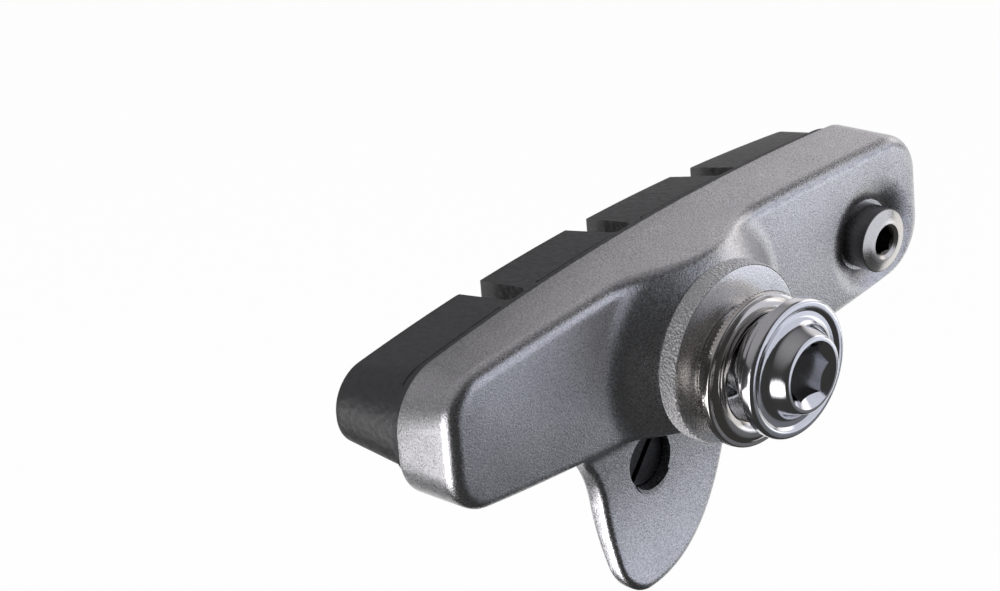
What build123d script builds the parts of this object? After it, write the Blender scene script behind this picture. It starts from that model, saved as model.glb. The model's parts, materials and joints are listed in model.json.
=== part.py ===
from build123d import *
import os
from math import sqrt

os.makedirs("parts", exist_ok=True)

# Frame: +X runs along the shoe from its closed end to its open end, +Y faces the rim,
# +Z is up. The origin is on the bolt axis, in the outer face of the seat washer.

# Holder: a channel with arched sides, drafted from its back to its rim.
rim_y = 10.8
back_y = 4.5
back_closed_x = -27.1
back_open_x = 28.6
back_top = (6.75, 7.6, 6.75)
back_under = (-4.2, -6.6, -4.9)
back_corner = (3.2, 4.0, 4.0, 4.5)
rim_closed_x = -26.8
rim_open_x = 27.7
rim_top = (5.0, 7.45, 6.35)
rim_under = (-4.9, -6.3, -5.2)
rim_corner = (4.9, 4.3, 3.4, 4.6)
ridge_r = 1.1
rim_round = 0.3

# Boss for the bolt, flared into the back of the holder.
boss_r = 6.7
boss_foot_r = 9.6
boss_sweep_r = 3.0

# Channel for the pad: a wide foot slot behind a narrower mouth.
fit_gap = 0.1
floor_y = 7.6
lip_t = 1.5
foot_top = 4.0
foot_under = -4.3
mouth_in = 0.6
foot_closed_x = -25.2
foot_corner_r = 2.6
slot_over = 1.2

# Wheel guide fin below the boss.
fin_y = 6.2
fin_t = 2.0
fin_tip_t = 1.5
fin_bend_z = -9.4
fin_bend_r = 22.0
fin_end_z = -21.0
fin_left_x = -9.7
fin_neck_z = -11.8
fin_tip_r = 2.5
fin_sweep_x = 4.6
fin_sweep_z = -12.3
fin_low_z = -19.4
fin_right_x = 7.2
fin_root_x = -14.4
fin_root_z = -5.0
fin_edge_r = 0.55
fin_root_r = 1.5

# Hole in the fin and the slotted screw in it.
guide_x = -4.1
guide_z = -9.85
guide_hole_r = 2.42
guide_lip_in = 0.42
guide_lip_drop = 0.88
guide_lip_h = 0.25
guide_face_in = 0.85
guide_spot_y = 7.7
guide_slot_w = 0.6
guide_slot_d = 0.4
guide_slot_turn = 50.0
guide_head_r = 3.1
guide_head_h = 0.9
guide_head_round = 0.5

# Pad: ledge on the channel rim, blocks tapering to the braking face.
face_y = 17.5
ledge_h = 0.7
ledge_in = 0.35
ledge_under_in = 0.9
ledge_open_x = 27.6
ledge_corner = (4.3, 4.0, 4.2, 4.2)
block_in = 0.3
face_top = (3.7, 5.5, 3.5)
face_under = (-2.5, -3.75, -3.6)
face_closed_x = -26.6
face_open_x = 28.1
face_corner = (3.3, 3.3, 2.4, 3.5)
edge_round = 0.25
groove_x = (-11.2, 1.2, 13.8)
groove_w_face = 2.5
groove_w_base = 2.0
groove_floor = 0.45
groove_r = 0.7

# Screw that holds the pad.
lock_x = 22.2
lock_z = -0.75
lock_head_r = 2.65
lock_front_y = 3.4
lock_cone_h = 0.4
lock_rim_w = 0.12
lock_hex = 2.0
lock_hex_d = 1.6
lock_mouth_w = 0.48
lock_mouth_d = 0.45
lock_shank_r = 2.0
lock_bite = 1.1
recess_gap = 0.3
recess_d = 0.95
recess_slope_w = 2.3

# Bolt, seat washer and dished washer.
bolt_r = 3.0
bolt_tip_y = 6.6
bolt_tip_chamfer = 0.4
bolt_tip_gap = 0.2
bolt_hex = 4.0
bolt_hex_d = 2.6
bolt_mouth_w = 0.75
bolt_mouth_d = 0.7
flange_r = 5.62
flange_y = -6.2
flange_t = 1.2
flange_bead_w = 0.7
flange_bead_r = 0.34
flange_hollow = 0.28
trough_w = 0.82
dome_rim_w = 0.35
dome_y = -7.7
dome_foot_r = 0.85
dome_edge_r = 0.3
hub_wall = 0.9
hub_step = 0.8
hub_y1 = -3.9
hub_y2 = -2.9
hub_round = 0.35
seat_t = 1.72
seat_r = 7.3
seat_drop = 0.42
seat_edge = 0.25
dished_r = 6.25
dished_drop = 1.15
dished_front_y = -2.4
dished_back_y = -1.8
dished_bore_y = -2.45
dished_bow = 0.38
dished_step_w = 0.65
dished_step_y = -0.9
dished_lip = 0.42
dished_round = 0.2

boss_y = seat_t
under_mid_x = (back_closed_x + back_open_x) / 2
under_mid_z = back_under[1]
under_sag = (back_under[0] + back_under[2]) / 2 - under_mid_z
under_r = ((back_open_x - under_mid_x) ** 2 + under_sag**2) / (2 * under_sag)
seat_bore_r = bolt_r + seat_drop
dished_bore_r = bolt_r + dished_drop
dished_step_r = dished_bore_r + dished_step_w
dished_land_r = dished_r - dished_lip
bolt_mouth_r = bolt_hex / 2 + bolt_mouth_w
dome_rim_r = bolt_mouth_r + dome_rim_w
dome_r = flange_r - flange_bead_w - flange_hollow - trough_w
hub_r2 = bolt_r + hub_wall
hub_r1 = hub_r2 + hub_step
lock_mouth_r = lock_hex / 2 + lock_mouth_w
recess_r = lock_head_r + recess_gap
ledge_y = rim_y + ledge_h


def back_plane(y):
    return Plane(origin=(0, y, 0), x_dir=(1, 0, 0), z_dir=(0, -1, 0))


def outline(x0, x1, top, under, corner):
    with BuildLine() as border:
        ThreePointArc((x0, top[0]), ((x0 + x1) / 2, top[1]), (x1, top[2]))
        Line((x1, top[2]), (x1, under[2]))
        ThreePointArc((x1, under[2]), ((x0 + x1) / 2, under[1]), (x0, under[0]))
        Line((x0, under[0]), (x0, top[0]))
    make_face(border.edges())
    spots = ((x0, top[0], 0), (x0, under[0], 0), (x1, top[2], 0), (x1, under[2], 0))
    for spot, r in zip(spots, corner):
        fillet(vertices().sort_by_distance(spot)[0], radius=r)


def drafted(a, b, y):
    return a + (b - a) * (y - back_y) / (rim_y - back_y)


def drawn_in(heights, inset):
    return [z - inset if z > 0 else z + inset for z in heights]


def foot_slot(inset, over):
    x0 = foot_closed_x + inset
    x1 = ledge_open_x + over
    with BuildLine() as border:
        Polyline(
            (x0, foot_under + inset),
            (x1, foot_under + inset),
            (x1, foot_top - inset),
            (x0, foot_top - inset),
            close=True,
        )
    make_face(border.edges())
    fillet(vertices().sort_by_distance((x0, foot_under + inset, 0))[0], radius=foot_corner_r - inset)
    fillet(vertices().sort_by_distance((x0, foot_top - inset, 0))[0], radius=foot_corner_r - inset)


# Wheel guide fin, a bent tongue that follows the arch of the underside, cut to its outline
with BuildPart() as fin:
    with BuildSketch(Plane.YZ.offset(under_mid_x)):
        with BuildLine():
            drop = fin_bend_z - fin_end_z
            tip_y = fin_y - fin_bend_r + sqrt(fin_bend_r**2 - drop**2)
            ridge_mid_y = back_y + ridge_r
            ridge_mid_z = under_mid_z + ridge_r
            across = fin_y - fin_root_r - ridge_mid_y
            fall = sqrt((ridge_r + fin_root_r) ** 2 - across**2)
            share = ridge_r / (ridge_r + fin_root_r)
            flare_y = ridge_mid_y + across * share
            flare_z = ridge_mid_z - fall * share
            Line((flare_y, fin_root_z), (flare_y, flare_z))
            TangentArc((fin_y, ridge_mid_z - fall), (flare_y, flare_z), tangent=(0, 1))
            Line((fin_y, ridge_mid_z - fall), (fin_y, fin_bend_z))
            TangentArc((fin_y, fin_bend_z), (tip_y, fin_end_z), tangent=(0, -1))
            Line((tip_y, fin_end_z), (tip_y + fin_tip_t, fin_end_z))
            TangentArc((fin_y + fin_t, fin_bend_z), (tip_y + fin_tip_t, fin_end_z), tangent=(0, -1))
            Line((fin_y + fin_t, fin_bend_z), (fin_y + fin_t, fin_root_z))
            Line((fin_y + fin_t, fin_root_z), (flare_y, fin_root_z))
        make_face()
    revolve(axis=Axis((under_mid_x, 0, under_mid_z + under_r), (0, 1, 0)))
    with BuildSketch(back_plane(rim_y)):
        with BuildLine():
            TangentArc((fin_left_x, fin_neck_z), (fin_root_x, fin_root_z), tangent=(0, 1))
            Line((fin_left_x, fin_neck_z), (fin_left_x, fin_low_z + fin_tip_r))
            tip = TangentArc(
                (fin_left_x, fin_low_z + fin_tip_r),
                (fin_left_x + fin_tip_r, fin_low_z),
                tangent=(0, -1),
            )
            sweep = TangentArc(tip @ 1, (fin_sweep_x, fin_sweep_z), tangent=tip % 1)
            TangentArc(sweep @ 1, (fin_right_x, fin_root_z), tangent=sweep % 1)
            Line((fin_right_x, fin_root_z), (fin_root_x, fin_root_z))
        make_face()
    extrude(amount=rim_y, mode=Mode.INTERSECT)
    border = fin.edges().filter_by(lambda e: abs(e.tangent_at(0.5).Y) < 0.9)
    border = border.filter_by(lambda e: e.bounding_box().size.Z > 0.05 and e.center().Z < fin_root_z - 0.1)
    fillet(border, radius=fin_edge_r)

# Shoe holder
with BuildPart() as holder:
    with BuildSketch(back_plane(rim_y)):
        Rectangle(3 * back_open_x, 3 * back_open_x)
    extrude(amount=rim_y - back_y)
    with BuildSketch(Plane.XY):
        Polygon(
            (0, boss_y),
            (boss_r, boss_y),
            (boss_foot_r, back_y),
            (boss_foot_r, back_y + 1),
            (0, back_y + 1),
            align=None,
        )
    revolve(axis=Axis.Y)
    foot = holder.edges().filter_by(GeomType.CIRCLE).filter_by(lambda e: abs(e.radius - boss_foot_r) < 0.01)
    fillet(foot, radius=boss_sweep_r)
    for y in (boss_y, rim_y):
        with BuildSketch(back_plane(y)):
            outline(
                drafted(back_closed_x, rim_closed_x, y),
                drafted(back_open_x, rim_open_x, y),
                [drafted(a, b, y) for a, b in zip(back_top, rim_top)],
                [drafted(a, b, y) for a, b in zip(back_under, rim_under)],
                [drafted(a, b, y) for a, b in zip(back_corner, rim_corner)],
            )
    loft(mode=Mode.INTERSECT)
    sides = holder.faces().filter_by(lambda f: f.edges().sort_by(Axis.Y)[-1].center().Y > rim_y - 0.01)
    ridge = sides.edges().filter_by(lambda e: e.bounding_box().size.Y < 4 and e.center().Y < rim_y - 1)
    fillet(ridge, radius=ridge_r)
    fillet(holder.faces().sort_by(Axis.Y)[-1].edges(), radius=rim_round)
    add(fin.part)
    with BuildSketch(back_plane(fin_y + fin_t / 2)):
        with Locations((guide_x, guide_z - guide_lip_drop)):
            Circle(guide_hole_r - guide_lip_in)
    extrude(amount=fin_t / 2 + guide_lip_h)
    with BuildSketch(back_plane(rim_y - lip_t)):
        foot_slot(0, slot_over)
    extrude(amount=rim_y - lip_t - floor_y, mode=Mode.SUBTRACT)
    with BuildSketch(back_plane(rim_y)):
        foot_slot(mouth_in, slot_over)
    extrude(amount=lip_t, mode=Mode.SUBTRACT)
    with BuildSketch(back_plane(bolt_tip_y + bolt_tip_gap)):
        Circle(bolt_r)
    extrude(amount=bolt_tip_y, mode=Mode.SUBTRACT)
    with BuildSketch(Plane.XY.offset(lock_z)):
        with BuildLine():
            Polyline(
                (lock_x, back_y),
                (lock_x, back_y + recess_d),
                (lock_x + recess_r, back_y + recess_d),
            )
            TangentArc(
                (lock_x + recess_r + recess_slope_w, back_y),
                (lock_x + recess_r, back_y + recess_d),
                tangent=(-1, 0),
            )
            Line((lock_x + recess_r + recess_slope_w, back_y), (lock_x, back_y))
        make_face()
    revolve(axis=Axis((lock_x, 0, lock_z), (0, 1, 0)), mode=Mode.SUBTRACT)
    with BuildSketch(back_plane(floor_y)):
        with Locations((lock_x, lock_z)):
            Circle(lock_shank_r)
    extrude(amount=floor_y - back_y, mode=Mode.SUBTRACT)
    with BuildSketch(back_plane(rim_y)):
        with Locations((guide_x, guide_z)):
            Circle(guide_hole_r)
    extrude(amount=rim_y, mode=Mode.SUBTRACT)
    with BuildSketch(back_plane(rim_y)):
        with Locations((guide_x, guide_z)):
            Circle(guide_head_r + fit_gap)
    extrude(amount=rim_y - guide_spot_y, mode=Mode.SUBTRACT)

# Brake pad, foot and blocks moulded in one
with BuildPart() as pad:
    with BuildSketch(back_plane(rim_y - lip_t - fit_gap)):
        foot_slot(fit_gap, 0)
    extrude(amount=rim_y - lip_t - fit_gap - floor_y)
    with BuildSketch(back_plane(rim_y)):
        foot_slot(mouth_in + fit_gap, 0)
    extrude(amount=lip_t + fit_gap)
    with BuildSketch(back_plane(ledge_y)):
        outline(
            rim_closed_x + ledge_in,
            ledge_open_x,
            drawn_in(rim_top, ledge_in),
            drawn_in(rim_under, ledge_under_in),
            ledge_corner,
        )
    extrude(amount=ledge_h)
    with BuildSketch(back_plane(ledge_y)):
        outline(
            rim_closed_x + ledge_in + block_in,
            ledge_open_x - block_in,
            drawn_in(rim_top, ledge_in + block_in),
            drawn_in(rim_under, ledge_under_in + block_in),
            ledge_corner,
        )
    with BuildSketch(back_plane(face_y)):
        outline(face_closed_x, face_open_x, face_top, face_under, face_corner)
    loft()
    with BuildSketch(Plane.XY.offset(-face_y)):
        for x in groove_x:
            with BuildLine():
                Polyline(
                    (x - groove_w_face / 2, face_y),
                    (x - groove_w_base / 2, ledge_y + groove_floor),
                    (x + groove_w_base / 2, ledge_y + groove_floor),
                    (x + groove_w_face / 2, face_y),
                    close=True,
                )
            make_face()
        fillet(vertices().group_by(Axis.Y)[0], radius=groove_r)
    extrude(amount=2 * face_y, mode=Mode.SUBTRACT)
    fillet(pad.edges().group_by(Axis.Y)[-1], radius=edge_round)
    with BuildSketch(back_plane(floor_y + lock_bite)):
        with Locations((lock_x, lock_z)):
            Circle(lock_shank_r)
    extrude(amount=lock_bite, mode=Mode.SUBTRACT)

# Screw that holds the pad
with BuildPart() as lock:
    with BuildSketch(Plane.XY.offset(lock_z)):
        with BuildLine():
            Polyline(
                (lock_x, floor_y + lock_bite),
                (lock_x + lock_shank_r, floor_y + lock_bite),
                (lock_x + lock_shank_r, back_y + recess_d),
                (lock_x + lock_head_r, back_y + recess_d),
                (lock_x + lock_head_r, lock_front_y),
                (lock_x + lock_mouth_r + lock_rim_w, lock_front_y - lock_cone_h),
                (lock_x + lock_mouth_r, lock_front_y - lock_cone_h),
                (lock_x + lock_hex / 2, lock_front_y - lock_cone_h + lock_mouth_d),
                (lock_x, lock_front_y - lock_cone_h + lock_mouth_d),
                (lock_x, floor_y + lock_bite),
            )
        make_face()
    revolve(axis=Axis((lock_x, 0, lock_z), (0, 1, 0)))
    with BuildSketch(back_plane(lock_front_y - lock_cone_h + lock_hex_d)):
        with Locations((lock_x, lock_z)):
            RegularPolygon(lock_hex / 2, 6, major_radius=False)
    extrude(amount=lock_hex_d, mode=Mode.SUBTRACT)

# Fixing bolt
with BuildPart() as bolt:
    with BuildSketch(Plane.XY):
        with BuildLine():
            Polyline(
                (0, bolt_tip_y),
                (bolt_r - bolt_tip_chamfer, bolt_tip_y),
                (bolt_r, bolt_tip_y - bolt_tip_chamfer),
                (bolt_r, hub_y2),
                (hub_r2, hub_y2),
                (hub_r2, hub_y1),
                (hub_r1, hub_y1),
                (hub_r1, flange_y + flange_t),
                (flange_r, flange_y + flange_t),
                (flange_r, flange_y),
                (flange_r - flange_bead_w, flange_y),
                (flange_r - flange_bead_w - flange_hollow, flange_y + flange_hollow),
                (dome_r, flange_y + flange_hollow),
                (dome_rim_r, dome_y),
                (bolt_mouth_r, dome_y),
                (bolt_hex / 2, dome_y + bolt_mouth_d),
                (0, dome_y + bolt_mouth_d),
                (0, bolt_tip_y),
            )
        make_face()
        fillet(vertices().sort_by_distance((hub_r2, hub_y2, 0))[0], radius=hub_round)
        fillet(vertices().sort_by_distance((hub_r1, hub_y1, 0))[0], radius=hub_round)
        bead = (flange_r, flange_r - flange_bead_w)
        for r in bead:
            fillet(vertices().sort_by_distance((r, flange_y, 0))[0], radius=flange_bead_r)
        fillet(vertices().sort_by_distance((flange_r, flange_y + flange_t, 0))[0], radius=flange_bead_r)
        fillet(vertices().sort_by_distance((dome_r, flange_y + flange_hollow, 0))[0], radius=dome_foot_r)
        fillet(vertices().sort_by_distance((dome_rim_r, dome_y, 0))[0], radius=dome_edge_r)
    revolve(axis=Axis.Y)
    with BuildSketch(back_plane(dome_y + bolt_hex_d)):
        RegularPolygon(bolt_hex / 2, 6, major_radius=False)
    extrude(amount=bolt_hex_d, mode=Mode.SUBTRACT)

# Seat washer, hanging on the bolt by its bore
with BuildPart() as seat:
    with BuildSketch(Plane.XY.offset(-seat_drop)):
        with Locations(((seat_bore_r + seat_r) / 2, seat_t / 2)):
            RectangleRounded(seat_r - seat_bore_r, seat_t, seat_edge)
    revolve(axis=Axis((0, 0, -seat_drop), (0, 1, 0)))

# Dished washer, rounded side to the bolt head
with BuildPart() as dished:
    with BuildSketch(Plane.XY.offset(-dished_drop)):
        with BuildLine():
            Polyline(
                (dished_bore_r, dished_bore_y),
                (dished_bore_r, 0),
                (dished_step_r, 0),
                (dished_step_r, dished_step_y),
                (dished_r, dished_back_y),
                (dished_r, dished_front_y),
                (dished_land_r, dished_front_y),
            )
            SagittaArc((dished_land_r, dished_front_y), (dished_bore_r, dished_bore_y), dished_bow)
        make_face()
        fillet(vertices().sort_by_distance((dished_r, dished_front_y, 0))[0], radius=dished_round)
        fillet(vertices().sort_by_distance((dished_r, dished_back_y, 0))[0], radius=dished_round)
        fillet(vertices().sort_by_distance((dished_step_r, 0, 0))[0], radius=dished_round)
    revolve(axis=Axis((0, 0, -dished_drop), (0, 1, 0)))

# Slotted screw in the fin
with BuildPart() as guide:
    with BuildSketch(back_plane(guide_spot_y)):
        with Locations((guide_x, guide_z)):
            Circle(guide_hole_r - fit_gap)
    extrude(amount=guide_spot_y - fin_y - guide_face_in)
    with BuildSketch(back_plane(guide_spot_y + guide_head_h)):
        with Locations((guide_x, guide_z)):
            Circle(guide_head_r)
    extrude(amount=guide_head_h)
    fillet(guide.faces().sort_by(Axis.Y)[-1].edges(), radius=guide_head_round)
    with BuildSketch(back_plane(fin_y + guide_face_in + guide_slot_d)):
        with Locations(Location((guide_x, guide_z, 0), (0, 0, guide_slot_turn))):
            Rectangle(3 * guide_hole_r, guide_slot_w)
    extrude(amount=guide_slot_d, mode=Mode.SUBTRACT)

holder.part.label = "shoe_holder"
pad.part.label = "brake_pad"
lock.part.label = "pad_screw"
bolt.part.label = "fixing_bolt"
seat.part.label = "seat_washer"
dished.part.label = "dish_washer"
guide.part.label = "guide_screw"
export_step(holder.part, "parts/shoe_holder.step")
export_step(pad.part, "parts/brake_pad.step")
export_step(lock.part, "parts/pad_screw.step")
export_step(bolt.part, "parts/fixing_bolt.step")
export_step(seat.part, "parts/seat_washer.step")
export_step(dished.part, "parts/dish_washer.step")
export_step(guide.part, "parts/guide_screw.step")
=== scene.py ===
import json
from math import pi, radians

import bmesh
import bpy
from mathutils import Matrix, Vector

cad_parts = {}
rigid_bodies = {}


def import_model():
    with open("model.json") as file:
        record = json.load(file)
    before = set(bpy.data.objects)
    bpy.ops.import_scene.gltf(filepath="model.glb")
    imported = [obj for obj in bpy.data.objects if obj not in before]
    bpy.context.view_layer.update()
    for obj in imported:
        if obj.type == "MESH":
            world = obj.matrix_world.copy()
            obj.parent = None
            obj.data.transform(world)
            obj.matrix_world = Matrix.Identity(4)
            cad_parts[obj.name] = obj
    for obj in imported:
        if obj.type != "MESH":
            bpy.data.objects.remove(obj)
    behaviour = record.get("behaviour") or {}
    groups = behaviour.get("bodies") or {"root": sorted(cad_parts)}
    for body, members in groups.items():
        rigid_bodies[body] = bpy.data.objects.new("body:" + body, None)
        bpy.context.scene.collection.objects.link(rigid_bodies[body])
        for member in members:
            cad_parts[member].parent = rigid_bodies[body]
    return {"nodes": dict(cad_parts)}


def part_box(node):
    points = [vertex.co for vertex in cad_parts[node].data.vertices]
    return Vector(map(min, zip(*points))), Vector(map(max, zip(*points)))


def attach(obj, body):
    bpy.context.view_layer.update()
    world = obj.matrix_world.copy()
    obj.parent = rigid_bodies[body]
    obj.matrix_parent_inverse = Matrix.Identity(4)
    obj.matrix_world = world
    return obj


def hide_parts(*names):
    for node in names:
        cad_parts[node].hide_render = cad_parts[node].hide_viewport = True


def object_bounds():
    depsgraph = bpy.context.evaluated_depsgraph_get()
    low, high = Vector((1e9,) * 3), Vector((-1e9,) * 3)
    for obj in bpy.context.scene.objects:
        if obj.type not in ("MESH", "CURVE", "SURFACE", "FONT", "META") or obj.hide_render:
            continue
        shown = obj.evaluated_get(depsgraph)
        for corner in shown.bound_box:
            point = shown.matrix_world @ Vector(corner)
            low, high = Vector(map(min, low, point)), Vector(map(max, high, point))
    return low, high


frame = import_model()
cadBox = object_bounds()
mm = 0.001
print("frame loaded:", sorted(frame["nodes"]))


# a wire is one output socket of a node tree, and arithmetic on it adds Math nodes
class Wire:
    def __init__(self, tree, socket=None):
        self.tree = tree
        self.socket = socket

    def node(self, kind, settings=None, sockets=None, out=0):
        made = self.tree.nodes.new(kind)
        for name, value in (settings or {}).items():
            setattr(made, name, value)
        for name, value in (sockets or {}).items():
            if isinstance(value, Wire):
                self.tree.links.new(value.socket, made.inputs[name])
            else:
                made.inputs[name].default_value = value
        return Wire(self.tree, made.outputs[out] if len(made.outputs) else None)

    def maths(self, operation, first, second=0.0):
        return self.node("ShaderNodeMath", {"operation": operation}, {0: first, 1: second})

    def __add__(self, other):
        return self.maths("ADD", self, other)

    def __radd__(self, other):
        return self.maths("ADD", other, self)

    def __sub__(self, other):
        return self.maths("SUBTRACT", self, other)

    def __rsub__(self, other):
        return self.maths("SUBTRACT", other, self)

    def __mul__(self, other):
        return self.maths("MULTIPLY", self, other)

    def __rmul__(self, other):
        return self.maths("MULTIPLY", other, self)

    def __truediv__(self, other):
        return self.maths("DIVIDE", self, other)

    def __rtruediv__(self, other):
        return self.maths("DIVIDE", other, self)

    def step(self, low, high):  # 0 at low, 1 at high, smooth between them
        return self.node(
            "ShaderNodeMapRange",
            {"interpolation_type": "SMOOTHSTEP"},
            {"Value": self, "From Min": low, "From Max": high},
        )

    def tint(self, low, high, blend="MIX"):  # two colours blended, this value as the factor
        return self.node(
            "ShaderNodeMix",
            {"data_type": "RGBA", "blend_type": blend},
            {0: self, 6: low, 7: high},  # the colour sockets share their names with others
            out=2,
        )


def emptyTree(owner):  # the cleared nodes of a material or a world
    owner.use_nodes = True
    owner.node_tree.nodes.clear()
    return Wire(owner.node_tree)


def startLook(name):
    look = bpy.data.materials.new(name)
    wire = emptyTree(look)
    place = wire.node("ShaderNodeTexCoord", out="Object")
    return look, wire, place


def finishLook(wire, values):
    shader = wire.node("ShaderNodeBsdfPrincipled", None, values)
    wire.node("ShaderNodeOutputMaterial", None, {"Surface": shader})


def noise(wire, place, size, detail=3.0, rough=0.6):
    return wire.node(
        "ShaderNodeTexNoise",
        None,
        {"Vector": place, "Scale": 1 / size, "Detail": detail, "Roughness": rough},
    )


def cells(wire, place, size, feature="F1"):
    return wire.node(
        "ShaderNodeTexVoronoi",
        {"feature": feature},
        {"Vector": place, "Scale": 1 / size},
    )


def ringMarks(wire, radius, pitch):  # fine waves round an axis, as a lathe leaves them
    return wire.maths("SINE", radius * (2 * pi / pitch))


def bump(wire, height, values):
    return wire.node(
        "ShaderNodeBump",
        None,
        {"Height": height, "Distance": values["depth"], "Strength": values["bump"]},
    )


def uneven(values, pattern):  # roughness that swings about its middle with a pattern
    return values["roughness"] + (pattern - 0.5) * values["uneven"]


def axes(wire, place):  # the x, y and z of a place
    split = wire.node("ShaderNodeSeparateXYZ", None, {0: place})
    return [Wire(wire.tree, one) for one in split.socket.node.outputs]


def fromAxis(wire, x, z):  # distance from an axis along Y
    return wire.maths("SQRT", x * x + z * z)


def middle(node):  # middle of a node's box
    low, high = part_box(node)
    return (low + high) / 2


# in each look a Share weighs a pattern in the colour, a Height weighs it in the bump

# blasted alloy of the holder: even grey with fine bright grain
holderLook = {
    "grain": 0.14 * mm,
    "grainEdges": (0.30, 0.72),
    "grainShare": 0.75,
    "fleck": 0.25 * mm,
    "fleckEdges": (0.30, 0.05),
    "fleckShare": 0.25,
    "fleckHeight": 0.4,
    "cloud": 4.0 * mm,
    "cloudShare": 0.25,
    "depth": 0.048 * mm,
    "bump": 0.55,
    "dark": (0.33, 0.33, 0.345, 1),
    "pale": (0.80, 0.80, 0.82, 1),
    "roughness": 0.29,
    "uneven": 0.25,
}


def blastedAlloy():
    values = holderLook
    look, wire, place = startLook("blasted alloy")
    grain = noise(wire, place, values["grain"], rough=0.65)
    cloud = noise(wire, place, values["cloud"], detail=2.0, rough=0.5)
    fleck = cells(wire, place, values["fleck"]).step(*values["fleckEdges"])
    tone = grain.step(*values["grainEdges"]) * values["grainShare"]
    tone = tone + cloud * values["cloudShare"] + fleck * values["fleckShare"]
    finishLook(wire, {
        "Base Color": tone.tint(values["dark"], values["pale"]),
        "Metallic": 1.0,
        "Roughness": uneven(values, grain),
        "Normal": bump(wire, grain + fleck * values["fleckHeight"], values),
    })
    return look


# moulded rubber: leathery sides, smooth braking face
padLook = {
    "leather": 0.55 * mm,
    "leatherShare": 0.5,
    "leatherHeight": 0.8,
    "faceHeight": 0.05,  # what is left of the leather on the braking face
    "fine": 0.12 * mm,
    "fineShare": 0.6,
    "fineHeight": 0.35,
    "faceY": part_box("brake_pad")[1].y,
    "faceFade": (0.1 * mm, 0.6 * mm),  # behind the face the leather starts and is full
    "depth": 0.11 * mm,
    "bump": 0.6,
    "dark": (0.012, 0.012, 0.013, 1),
    "pale": (0.026, 0.026, 0.028, 1),
    "roughness": 0.46,
    "uneven": 0.3,
}


def mouldedRubber():
    values = padLook
    look, wire, place = startLook("moulded rubber")
    x, y, z = axes(wire, place)
    start, full = values["faceFade"]
    sides = y.step(values["faceY"] - start, values["faceY"] - full)
    leather = cells(wire, place, values["leather"], "SMOOTH_F1")
    fine = noise(wire, place, values["fine"])
    tone = fine * values["fineShare"] + leather * sides * values["leatherShare"]
    raised = sides * values["leatherHeight"] + values["faceHeight"]
    height = leather * raised + fine * values["fineHeight"]
    finishLook(wire, {
        "Base Color": tone.tint(values["dark"], values["pale"]),
        "Roughness": uneven(values, fine),
        "Normal": bump(wire, height, values),
    })
    return look


# bright plated steel of the fixing bolt
boltLook = {
    "cloud": 1.6 * mm,
    "cloudShare": 0.7,
    "mark": 0.10 * mm,
    "markHeight": 0.010,
    "fineShare": 0.3,
    "fineHeight": 0.05,
    "thread": 0.5 * mm,
    "threadR": 3.1 * mm,
    "threadY": -2.95 * mm,
    "threadFade": 0.05 * mm,
    "threadHeight": 0.5,
    "depth": 0.05 * mm,
    "bump": 0.5,
    "dark": (0.56, 0.56, 0.575, 1),
    "pale": (0.78, 0.78, 0.80, 1),
    "roughness": 0.12,
    "uneven": 0.16,
}


def platedSteel():
    values = boltLook
    look, wire, place = startLook("plated steel")
    x, y, z = axes(wire, place)
    radius = fromAxis(wire, x, z)
    cloud = noise(wire, place, values["cloud"], detail=4.0)
    marks = ringMarks(wire, radius, values["mark"])
    fine = noise(wire, place, values["mark"], detail=2.0, rough=0.5)
    inside = radius.step(values["threadR"] + values["threadFade"], values["threadR"])
    beyond = y.step(values["threadY"], values["threadY"] + values["threadFade"])
    angle = wire.maths("ARCTAN2", z, x) / (2 * pi)
    turns = wire.maths("PINGPONG", y / values["thread"] + angle, 0.5)
    thread = turns * (inside * beyond)
    tone = cloud * values["cloudShare"] + fine * values["fineShare"]
    height = marks * values["markHeight"] + fine * values["fineHeight"]
    finishLook(wire, {
        "Base Color": tone.tint(values["dark"], values["pale"]),
        "Metallic": 1.0,
        "Roughness": uneven(values, cloud),
        "Normal": bump(wire, height + thread * values["threadHeight"], values),
    })
    return look


# plain steel washer: satin faces and a coarse, sparkling edge
seatLook = {
    "grain": 0.22 * mm,
    "grainShare": 0.6,
    "grainHeight": 0.28,
    "coarse": 0.24 * mm,
    "axisZ": middle("seat_washer").z,
    "edgeR": 7.1 * mm,
    "edgeFade": 0.12 * mm,
    "edgeShare": 0.4,
    "edgeCoarse": 7.0,
    "edgeGrain": 0.8,
    "edgeRoughness": 0.46,
    "depth": 0.10 * mm,
    "bump": 0.75,
    "dark": (0.70, 0.70, 0.71, 1),
    "pale": (0.96, 0.96, 0.96, 1),
    "roughness": 0.27,
    "uneven": 0.16,
}


def washerSteel():
    values = seatLook
    look, wire, place = startLook("washer steel")
    x, y, z = axes(wire, place)
    radius = fromAxis(wire, x, z - values["axisZ"])
    edge = radius.step(values["edgeR"], values["edgeR"] + values["edgeFade"])
    grain = noise(wire, place, values["grain"])
    coarse = cells(wire, place, values["coarse"])
    tone = grain * values["grainShare"] + edge * values["edgeShare"]
    broken = coarse * values["edgeCoarse"] + grain * values["edgeGrain"]
    finishLook(wire, {
        "Base Color": tone.tint(values["dark"], values["pale"]),
        "Metallic": 1.0,
        "Roughness": uneven(values, grain) + edge * values["edgeRoughness"],
        "Normal": bump(wire, grain * values["grainHeight"] + edge * broken, values),
    })
    return look


# dished washer: warm polished steel
dishLook = {
    "grain": 0.18 * mm,
    "grainShare": 0.5,
    "grainHeight": 0.2,
    "cloud": 2.2 * mm,
    "cloudShare": 0.5,
    "ring": 0.18 * mm,
    "ringHeight": 0.02,
    "axisZ": middle("dish_washer").z,
    "depth": 0.03 * mm,
    "bump": 0.3,
    "dark": (0.52, 0.50, 0.48, 1),
    "pale": (0.74, 0.72, 0.69, 1),
    "roughness": 0.15,
    "uneven": 0.16,
}


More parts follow.
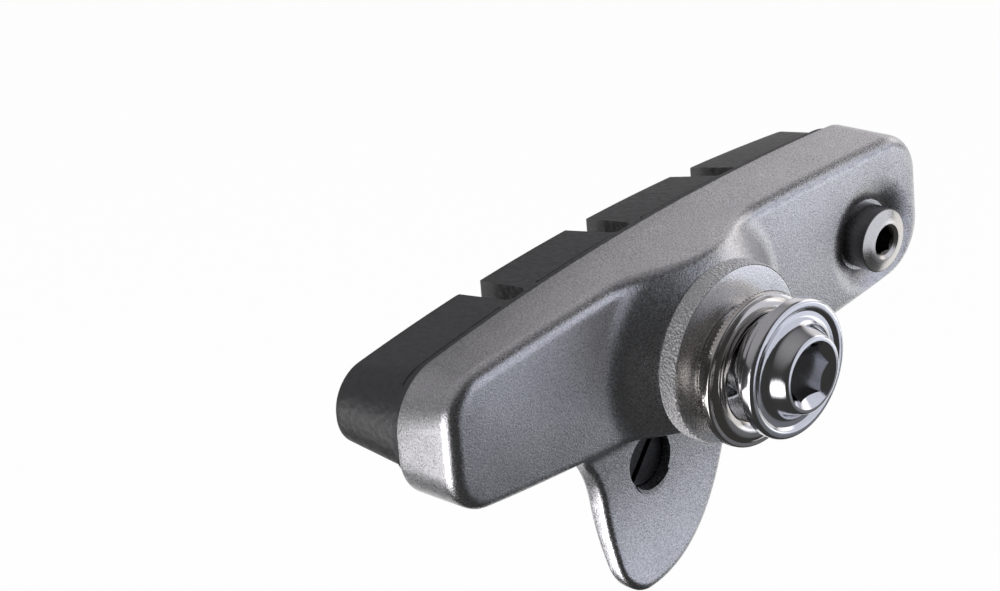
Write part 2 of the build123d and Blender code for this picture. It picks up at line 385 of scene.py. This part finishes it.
def dishSteel():
    values = dishLook
    look, wire, place = startLook("dish steel")
    x, y, z = axes(wire, place)
    radius = fromAxis(wire, x, z - values["axisZ"])
    grain = noise(wire, place, values["grain"])
    cloud = noise(wire, place, values["cloud"], rough=0.5)
    rings = ringMarks(wire, radius, values["ring"])
    tone = grain * values["grainShare"] + cloud * values["cloudShare"]
    height = grain * values["grainHeight"] + rings * values["ringHeight"]
    finishLook(wire, {
        "Base Color": tone.tint(values["dark"], values["pale"]),
        "Metallic": 1.0,
        "Roughness": uneven(values, cloud),
        "Normal": bump(wire, height, values),
    })
    return look


# turned steel of the pad screw: bright end, with painted shade on the side and in the socket
screwLook = {
    "grain": 0.15 * mm,
    "grainHeight": 0.3,
    "ring": 0.12 * mm,
    "ringHeight": 0.05,
    "axisX": middle("pad_screw").x,
    "axisZ": middle("pad_screw").z,
    "sideR": 2.55 * mm,
    "sideFade": 0.08 * mm,
    "socketR": 1.28 * mm,
    "socketFade": 0.12 * mm,
    "depth": 0.05 * mm,
    "bump": 0.4,
    "dark": (0.54, 0.52, 0.50, 1),
    "pale": (0.86, 0.83, 0.80, 1),
    # painted shade: the dark colour given to the screw's side and its socket
    "paintedShade": (0.12, 0.112, 0.104, 1),
    "roughness": 0.24,
    "uneven": 0.14,
}


def turnedSteel():
    values = screwLook
    look, wire, place = startLook("turned steel")
    x, y, z = axes(wire, place)
    radius = fromAxis(wire, x - values["axisX"], z - values["axisZ"])
    grain = noise(wire, place, values["grain"])
    rings = ringMarks(wire, radius, values["ring"])
    side = radius.step(values["sideR"], values["sideR"] + values["sideFade"])
    socket = radius.step(values["socketR"], values["socketR"] - values["socketFade"])
    bright = grain.tint(values["dark"], values["pale"])
    height = grain * values["grainHeight"] + rings * values["ringHeight"]
    finishLook(wire, {
        # the side and the socket take the painted shade colour
        "Base Color": wire.maths("MAXIMUM", side, socket).tint(bright, values["paintedShade"]),
        "Metallic": 1.0,
        "Roughness": uneven(values, grain),
        "Normal": bump(wire, height, values),
    })
    return look


# blackened steel of the guide screw
guideLook = {
    "grain": 0.13 * mm,
    "grainEdges": (0.3, 0.75),
    "depth": 0.03 * mm,
    "bump": 0.5,
    "dark": (0.035, 0.035, 0.037, 1),
    "pale": (0.10, 0.10, 0.105, 1),
    "metal": 0.8,
    "roughness": 0.42,
    "uneven": 0.25,
}


def blackSteel():
    values = guideLook
    look, wire, place = startLook("black steel")
    grain = noise(wire, place, values["grain"])
    tone = grain.step(*values["grainEdges"])
    finishLook(wire, {
        "Base Color": tone.tint(values["dark"], values["pale"]),
        "Metallic": values["metal"],
        "Roughness": uneven(values, grain),
        "Normal": bump(wire, grain, values),
    })
    return look


# each CAD node gets a welded copy with smooth rounds and crisp edges
dressing = {
    "weld": 0.0005 * mm,
    "sliver": 0.0002 * mm,
    "crisp": 24,  # degrees between two faces from which their edge is sharp
}


def dressNode(node, name, look):
    mesh = frame["nodes"][node].data.copy()
    mesh.name = name
    shape = bmesh.new()
    shape.from_mesh(mesh)
    bmesh.ops.remove_doubles(shape, verts=shape.verts, dist=dressing["weld"])
    bmesh.ops.dissolve_degenerate(shape, edges=shape.edges, dist=dressing["sliver"])
    for face in shape.faces:
        face.smooth = True
    crisp = radians(dressing["crisp"])
    for edge in shape.edges:
        edge.smooth = len(edge.link_faces) == 2 and edge.calc_face_angle(0) < crisp
    shape.to_mesh(mesh)
    shape.free()
    mesh.materials.clear()
    mesh.materials.append(look)
    piece = bpy.data.objects.new(name, mesh)
    bpy.context.scene.collection.objects.link(piece)
    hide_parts(node)
    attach(piece, "root")
    return piece


# a geometry node tree with its named inputs, built with the same wires
class Graph(Wire):
    def __init__(self, name, inputs):
        super().__init__(bpy.data.node_groups.new(name, "GeometryNodeTree"))
        face = self.tree.interface
        self.ids = {}
        for title, kind in inputs.items():
            made = face.new_socket(title, in_out="INPUT", socket_type=kind)
            self.ids[title] = made.identifier
        face.new_socket("Geometry", in_out="OUTPUT", socket_type="NodeSocketGeometry")
        self.entry = self.tree.nodes.new("NodeGroupInput")

    def given(self, title):
        return Wire(self.tree, self.entry.outputs[title])

    def finish(self, geometry, look):
        whole = self.node("GeometryNodeRealizeInstances", None, {"Geometry": geometry})
        painted = self.node(
            "GeometryNodeSetMaterial", None, {"Geometry": whole, "Material": look}
        )
        self.node("NodeGroupOutput", None, {"Geometry": painted})


def growPiece(graph, name, values):  # runs the tree once and keeps the result as a plain mesh
    seed = bpy.data.objects.new(name + "Seed", bpy.data.meshes.new(name + "Seed"))
    bpy.context.scene.collection.objects.link(seed)
    grower = seed.modifiers.new("grow", "NODES")
    grower.node_group = graph.tree
    for title, value in values.items():
        grower[graph.ids[title]] = value
    bpy.context.view_layer.update()
    grown = seed.evaluated_get(bpy.context.evaluated_depsgraph_get())
    mesh = bpy.data.meshes.new_from_object(grown)
    bpy.data.objects.remove(seed)
    mesh.name = name
    for face in mesh.polygons:
        face.use_smooth = True
    piece = bpy.data.objects.new(name, mesh)
    bpy.context.scene.collection.objects.link(piece)
    return piece


# one thin rib along the foot of each pad block, laid on the rubber from above, in mm
padRibs = {
    "spans": [(-24.4, -13.4), (-9.0, -0.8), (3.2, 11.8), (15.8, 24.6)],
    "y": 12.0,
    "radius": 0.17,
    "sunk": 0.03,
    "above": 2.0,  # the line starts this far above the pad
    "reach": 100.0,  # and is dropped this far at most
    "steps": 40,
    "sides": 10,
}


def ribGraph(look):
    graph = Graph("pad rib", {
        "Pad": "NodeSocketObject",
        "Start": "NodeSocketVector",
        "End": "NodeSocketVector",
        "Radius": "NodeSocketFloat",
        "Sunk": "NodeSocketFloat",
    })
    line = graph.node(
        "GeometryNodeCurvePrimitiveLine",
        None,
        {"Start": graph.given("Start"), "End": graph.given("End")},
    )
    fine = graph.node(
        "GeometryNodeResampleCurve", None, {"Curve": line, "Count": padRibs["steps"]}
    )
    surface = graph.node(
        "GeometryNodeObjectInfo", None, {"Object": graph.given("Pad")}, out="Geometry"
    )
    hit = graph.node(
        "GeometryNodeRaycast",
        None,
        {
            "Target Geometry": surface,
            "Ray Direction": (0, 0, -1),
            "Ray Length": padRibs["reach"] * mm,
        },
        out="Hit Position",
    )
    down = graph.node("ShaderNodeCombineXYZ", None, {"Z": graph.given("Sunk")})
    laid = graph.node("ShaderNodeVectorMath", {"operation": "SUBTRACT"}, {0: hit, 1: down})
    placed = graph.node("GeometryNodeSetPosition", None, {"Geometry": fine, "Position": laid})
    ring = graph.node(
        "GeometryNodeCurvePrimitiveCircle",
        None,
        {"Resolution": padRibs["sides"], "Radius": graph.given("Radius")},
    )
    rib = graph.node(
        "GeometryNodeCurveToMesh",
        None,
        {"Curve": placed, "Profile Curve": ring, "Fill Caps": True},
    )
    graph.finish(rib, look)
    return graph


def makeRibs(pad, look):
    graph = ribGraph(look)
    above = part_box("brake_pad")[1].z + padRibs["above"] * mm
    for index, (first, last) in enumerate(padRibs["spans"]):
        rib = growPiece(graph, f"padRib{index + 1}", {
            "Pad": pad,
            "Start": (first * mm, padRibs["y"] * mm, above),
            "End": (last * mm, padRibs["y"] * mm, above),
            "Radius": padRibs["radius"] * mm,
            "Sunk": padRibs["sunk"] * mm,
        })
        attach(rib, "root")


# fine teeth round the back edge of the dished washer, in mm
dishTeeth = {
    "count": 110,
    "radius": 6.17,
    "y": -1.88,
    "size": (0.15, 0.26, 0.22),  # around, along the axis, outwards
}


def makeTeeth(look):
    graph = Graph("rim teeth", {
        "Count": "NodeSocketInt",
        "Radius": "NodeSocketFloat",
        "Size": "NodeSocketVector",
    })
    ring = graph.node(
        "GeometryNodeMeshCircle",
        None,
        {"Vertices": graph.given("Count"), "Radius": graph.given("Radius")},
    )
    tooth = graph.node("GeometryNodeMeshCube", None, {"Size": graph.given("Size")})
    spot = graph.node("GeometryNodeInputPosition")
    turn = graph.node("FunctionNodeAlignEulerToVector", {"axis": "Z"}, {"Vector": spot})
    teeth = graph.node(
        "GeometryNodeInstanceOnPoints",
        None,
        {"Points": ring, "Instance": tooth, "Rotation": turn},
    )
    graph.finish(teeth, look)
    piece = growPiece(graph, "dishTeeth", {
        "Count": dishTeeth["count"],
        "Radius": dishTeeth["radius"] * mm,
        "Size": Vector(dishTeeth["size"]) * mm,
    })
    upright = Matrix.Rotation(radians(90), 4, "X")
    place = Matrix.Translation((0, dishTeeth["y"] * mm, dishLook["axisZ"]))
    piece.data.transform(place @ upright)
    for face in piece.data.polygons:
        face.use_smooth = False
    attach(piece, "root")


alloy = blastedAlloy()
rubber = mouldedRubber()
dressNode("shoe_holder", "holderBody", alloy)
pad = dressNode("brake_pad", "rubberPad", rubber)
dressNode("pad_screw", "padGrubScrew", turnedSteel())
dressNode("fixing_bolt", "fixingBolt", platedSteel())
dressNode("seat_washer", "seatRing", washerSteel())
steel = dishSteel()
dressNode("dish_washer", "dishRing", steel)
dressNode("guide_screw", "guideScrewBody", blackSteel())
print("pieces dressed")
makeRibs(pad, rubber)
makeTeeth(steel)
print("ribs and teeth grown")


# camera of the picture: lens and stand found from the shoe's own corners
camera = {
    "place": (-247.070, -222.901, 172.957),  # mm
    "right": (0.6777, -0.7310, -0.0798),
    "up": (0.3780, 0.2533, 0.8904),
    "lens": 174.40,
    "sensor": 36,
    "clip": (0.01, 10),
}


def makeCamera():
    data = bpy.data.cameras.new("camera")
    data.lens = camera["lens"]
    data.sensor_width = camera["sensor"]
    data.clip_start, data.clip_end = camera["clip"]
    right = Vector(camera["right"]).normalized()
    up = Vector(camera["up"])
    up = (up - right * up.dot(right)).normalized()
    back = right.cross(up)
    turn = Matrix((right, up, back)).transposed().to_4x4()
    stand = bpy.data.objects.new("camera", data)
    stand.matrix_world = Matrix.Translation(Vector(camera["place"]) * mm) @ turn
    bpy.context.scene.collection.objects.link(stand)
    bpy.context.scene.camera = stand


makeCamera()
print("camera set")


# studio, in metres: pale floor, white surround, soft panels that the metal mirrors
studio = {
    "floorDrop": 0.080,
    "floorNear": 0.055,
    "floorFar": 1.0,
    "floorWide": 0.7,
    "floorColour": (0.86, 0.86, 0.86, 1),
    "floorWhite": 0.96,  # the rest of the floor's look is its paint, with the shadow
    "floorMirrored": 1.0,
    "mirroredWhite": 0.03,  # share of the white surround that the metal mirrors
    "white": (1, 1, 1, 1),
    "base": (0.02, 0.02, 0.02, 1),
    "panels": [  # direction, outer and inner edge of the glow as cosines, colour
        ((-0.87, 0.26, -0.36), 0.85, 0.975, (4.50, 4.38, 4.45, 1)),
        ((0.92, 0.35, 0.20), 0.84, 0.98, (0.88, 0.85, 0.86, 1)),
        ((0.68, -0.56, -0.47), 0.88, 0.99, (0.14, 0.15, 0.17, 1)),
        ((0.95, -0.15, 0.30), 0.93, 0.99, (1.20, 1.16, 1.13, 1)),
        ((-0.15, 0.58, 0.80), 0.20, 0.95, (0.34, 0.33, 0.34, 1)),
    ],
    "lamps": [  # name, place, width and height, power, colour, mirrored by the metal
        ("key", (-0.20, 0.05, 0.55), (0.30, 0.30), 3.3, (1, 1, 1), False),
        ("fill", (0.45, -0.45, 0.05), (0.30, 0.30), 1.1, (1, 1, 1), False),
        ("window", (0.035, -0.047, 0.011), (0.090, 0.090), 0.0172, (0.85, 0.88, 1), True),
    ],
}


def seenWhite(wire, mirrored):  # how white the camera, glass and metal see the background
    path = wire.node("ShaderNodeLightPath").socket.node
    rays = {one.name: Wire(wire.tree, one) for one in path.outputs}
    seen = rays["Is Camera Ray"] + rays["Is Transmission Ray"]
    return wire.maths("MINIMUM", seen + rays["Is Glossy Ray"] * mirrored, 1.0)


def makeFloor():
    level = cadBox[0][2] - studio["floorDrop"]
    ahead = Vector((-camera["place"][0], -camera["place"][1], 0)).normalized()
    aside = Vector((ahead.y, -ahead.x, 0)) * studio["floorWide"]
    near = ahead * studio["floorNear"]
    far = ahead * studio["floorFar"]
    drop = Vector((0, 0, level))
    corners = [near - aside, near + aside, far + aside, far - aside]
    mesh = bpy.data.meshes.new("floor")
    mesh.from_pydata([corner + drop for corner in corners], [], [(0, 1, 2, 3)])
    floor = bpy.data.objects.new("floor", mesh)
    bpy.context.scene.collection.objects.link(floor)
    look = bpy.data.materials.new("pale floor")
    wire = emptyTree(look)
    seen = seenWhite(wire, studio["floorMirrored"]) * studio["floorWhite"]
    paint = wire.node("ShaderNodeBsdfDiffuse", None, {"Color": studio["floorColour"]})
    white = wire.node("ShaderNodeEmission", None, {"Color": studio["white"]})
    mixed = wire.node("ShaderNodeMixShader", None, {0: seen, 1: paint, 2: white})
    wire.node("ShaderNodeOutputMaterial", None, {"Surface": mixed})
    mesh.materials.append(look)


def makeWorld():
    world = bpy.data.worlds.new("studio")
    bpy.context.scene.world = world
    wire = emptyTree(world)
    facing = wire.node("ShaderNodeTexCoord", out="Generated")
    light = studio["base"]
    for direction, outer, inner, colour in studio["panels"]:
        toward = wire.node(
            "ShaderNodeVectorMath",
            {"operation": "DOT_PRODUCT"},
            {0: facing, 1: Vector(direction).normalized()},
            out="Value",
        )
        light = toward.step(outer, inner).tint(light, colour, "ADD")
    light = wire.node("ShaderNodeBackground", None, {"Color": light})
    white = wire.node("ShaderNodeBackground", None, {"Color": studio["white"]})
    seen = seenWhite(wire, studio["mirroredWhite"])
    mixed = wire.node("ShaderNodeMixShader", None, {0: seen, 1: light, 2: white})
    wire.node("ShaderNodeOutputWorld", None, {"Surface": mixed})


def softLamp(name, place, size, power, colour, mirrored):
    lamp = bpy.data.lights.new(name, "AREA")
    lamp.shape = "ELLIPSE"
    lamp.size, lamp.size_y = size
    lamp.energy = power
    lamp.color = colour
    stand = bpy.data.objects.new(name, lamp)
    turn = Vector(place).normalized().to_track_quat("Z", "Y")  # faces the origin
    stand.matrix_world = Matrix.Translation(place) @ turn.to_matrix().to_4x4()
    stand.visible_camera = False
    stand.visible_glossy = mirrored
    bpy.context.scene.collection.objects.link(stand)


makeFloor()
makeWorld()
for lamp in studio["lamps"]:
    softLamp(*lamp)
print("studio set")


bpy.context.scene.view_settings.view_transform = "Standard"
